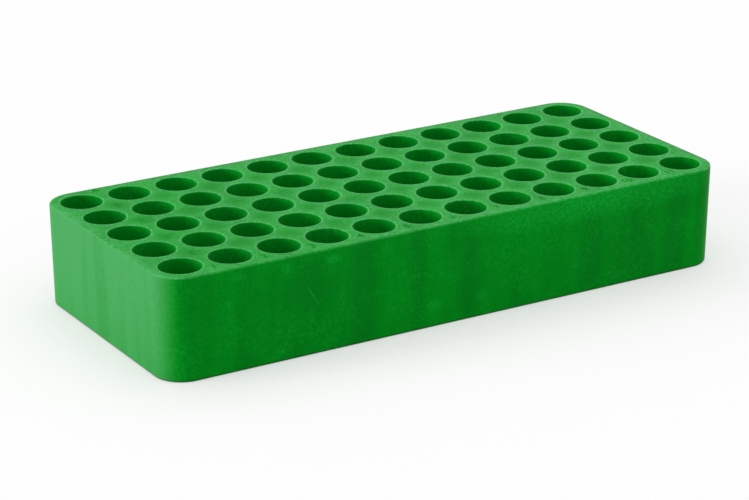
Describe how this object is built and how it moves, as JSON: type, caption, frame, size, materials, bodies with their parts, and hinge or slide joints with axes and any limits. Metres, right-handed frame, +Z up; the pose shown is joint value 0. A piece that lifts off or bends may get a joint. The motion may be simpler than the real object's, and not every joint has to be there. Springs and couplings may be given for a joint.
{
  "type": "test tube rack",
  "caption": "Low moulded plastic block with a grid of blind round holes that hold small test tubes upright.",
  "frame": {"origin": "centre of the flat underside", "axes": "+X along the long rows of holes, +Y from the front row to the back row, +Z up, out of the mouths of the holes"},
  "size_m": [0.2026, 0.0864, 0.0332],
  "materials": {
    "moulded_polypropylene": "satin moulded"
  },
  "bodies": {
    "root": {"rack_block": "moulded_polypropylene"}
  },
  "joints": []
}
